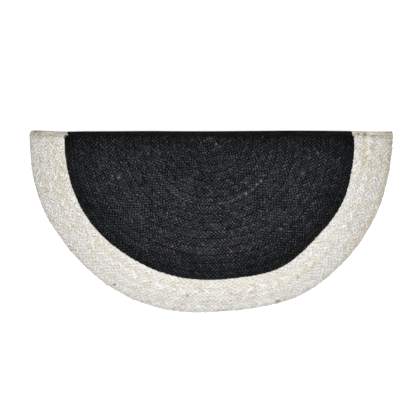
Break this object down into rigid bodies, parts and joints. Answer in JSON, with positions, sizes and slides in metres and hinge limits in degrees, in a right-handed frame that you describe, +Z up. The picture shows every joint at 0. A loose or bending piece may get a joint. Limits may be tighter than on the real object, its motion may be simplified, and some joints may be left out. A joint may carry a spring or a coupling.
{
  "type": "half-round braided jute doormat",
  "caption": "Flat half-round doormat of coiled jute braid, a black field inside a cream border, with a bound straight edge.",
  "frame": {"origin": "on the floor under the middle of the mat's outline", "axes": "+X along the straight edge, +Y towards the straight edge, +Z up from the floor, through the mat"},
  "size_m": [0.9, 0.4512, 0.0105],
  "materials": {
    "black_jute_braid": "dyed charcoal-black jute, dry and matte, with grey glints along the fibres",
    "cream_jute_braid": "bleached off-white jute, matte, with tan and ochre flecks",
    "black_jute_binding": "dyed black jute, combed along its length, smoother than the braid",
    "cream_jute_binding": "bleached jute, combed along its length, with tan streaks"
  },
  "bodies": {
    "root": {"field": "black_jute_braid", "border": "cream_jute_braid", "edge_binding_left": "cream_jute_binding", "edge_binding_middle": "black_jute_binding", "edge_binding_right": "cream_jute_binding"}
  },
  "joints": []
}
